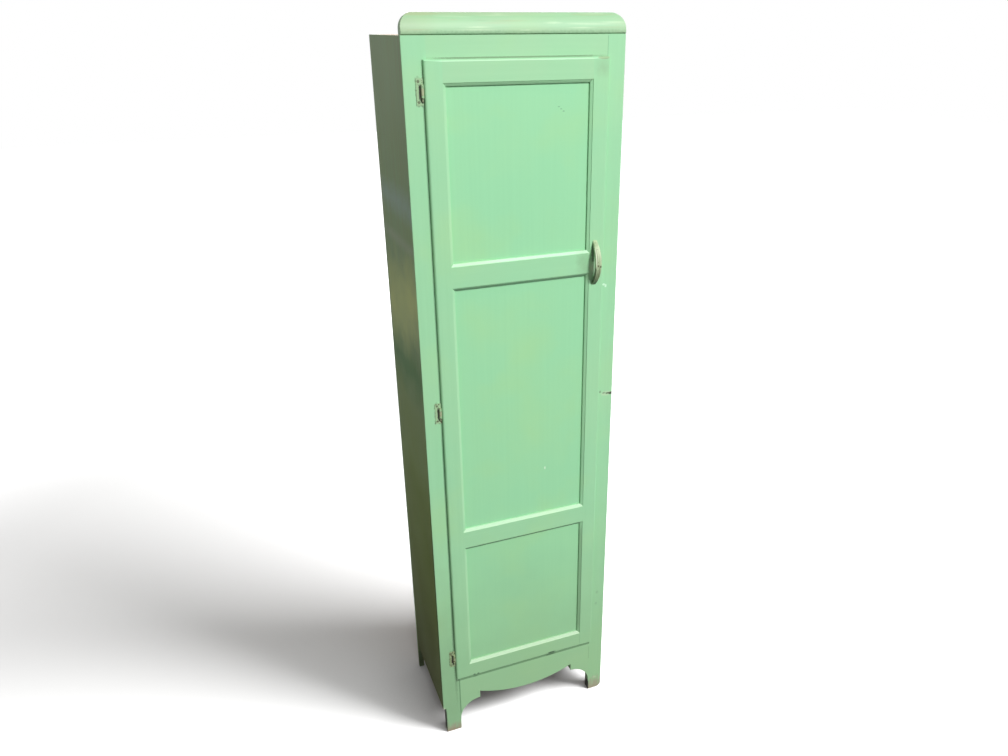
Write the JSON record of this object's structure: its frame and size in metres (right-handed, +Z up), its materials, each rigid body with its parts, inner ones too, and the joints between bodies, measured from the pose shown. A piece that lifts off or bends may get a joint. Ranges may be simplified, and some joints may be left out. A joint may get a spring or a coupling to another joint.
{
  "type": "bonnetiere cabinet",
  "caption": "Tall narrow painted cupboard with a panelled door hinged on the left, a bow pull, a rounded cornice and a shaped apron between its feet.",
  "frame": {"origin": "on the floor, in the middle of the box that holds the cabinet with its closed door and handle", "axes": "+Z up, +Y from the door to the back, +X to the right seen from the front"},
  "size_m": [0.475, 0.3166, 1.8],
  "materials": {
    "painted_softwood": "satin mint green oil paint, worn at the edges and feet",
    "bare_softwood": "bare pine, darkened with age",
    "hinge_steel": "steel under chipped paint, with rust",
    "fastener_steel": "dull steel",
    "handle_paint": "worn green paint over a darker base",
    "catch_plastic": "brown moulded plastic"
  },
  "bodies": {
    "carcass": {"front_stile_left": "painted_softwood", "front_stile_right": "painted_softwood", "front_top_rail": "painted_softwood", "front_apron": "painted_softwood", "cornice": "painted_softwood", "side_sheet_left": "painted_softwood", "side_sheet_right": "painted_softwood", "back_board": "bare_softwood", "top_board": "bare_softwood", "bottom_board": "bare_softwood", "back_batten_left": "bare_softwood", "back_batten_right": "bare_softwood", "front_batten_right": "bare_softwood", "shelf_1": "bare_softwood", "shelf_2": "bare_softwood", "shelf_3": "bare_softwood", "shelf_4": "bare_softwood", "shelf_cleats_left": "bare_softwood", "shelf_cleats_right": "bare_softwood", "hinge_frame_leaf_top": "hinge_steel", "hinge_frame_leaf_middle": "hinge_steel", "hinge_frame_leaf_bottom": "hinge_steel", "hinge_pin_top": "hinge_steel", "hinge_pin_middle": "hinge_steel", "hinge_pin_bottom": "hinge_steel", "frame_leaf_screws": "fastener_steel", "catch_screws": "fastener_steel", "catch_poles": "fastener_steel", "back_nails": "fastener_steel", "catch_case": "catch_plastic"},
    "door": {"door_stile_left": "painted_softwood", "door_stile_right": "painted_softwood", "door_rail_bottom": "painted_softwood", "door_rail_lower": "painted_softwood", "door_rail_upper": "painted_softwood", "door_rail_top": "painted_softwood", "door_panel_bottom": "painted_softwood", "door_panel_middle": "painted_softwood", "door_panel_top": "painted_softwood", "hinge_door_leaf_top": "hinge_steel", "hinge_door_leaf_middle": "hinge_steel", "hinge_door_leaf_bottom": "hinge_steel", "door_leaf_screws": "fastener_steel", "handle_screws": "fastener_steel", "strike_screw": "fastener_steel", "strike_plate": "fastener_steel", "door_handle": "handle_paint"}
  },
  "joints": [
    {"name": "door_hinge", "type": "hinge", "parent": "carcass", "child": "door", "pos_m": [-0.2004, -0.12895, 0.9], "axis": [0, 0, -1], "range_deg": [0, 160]}
  ]
}
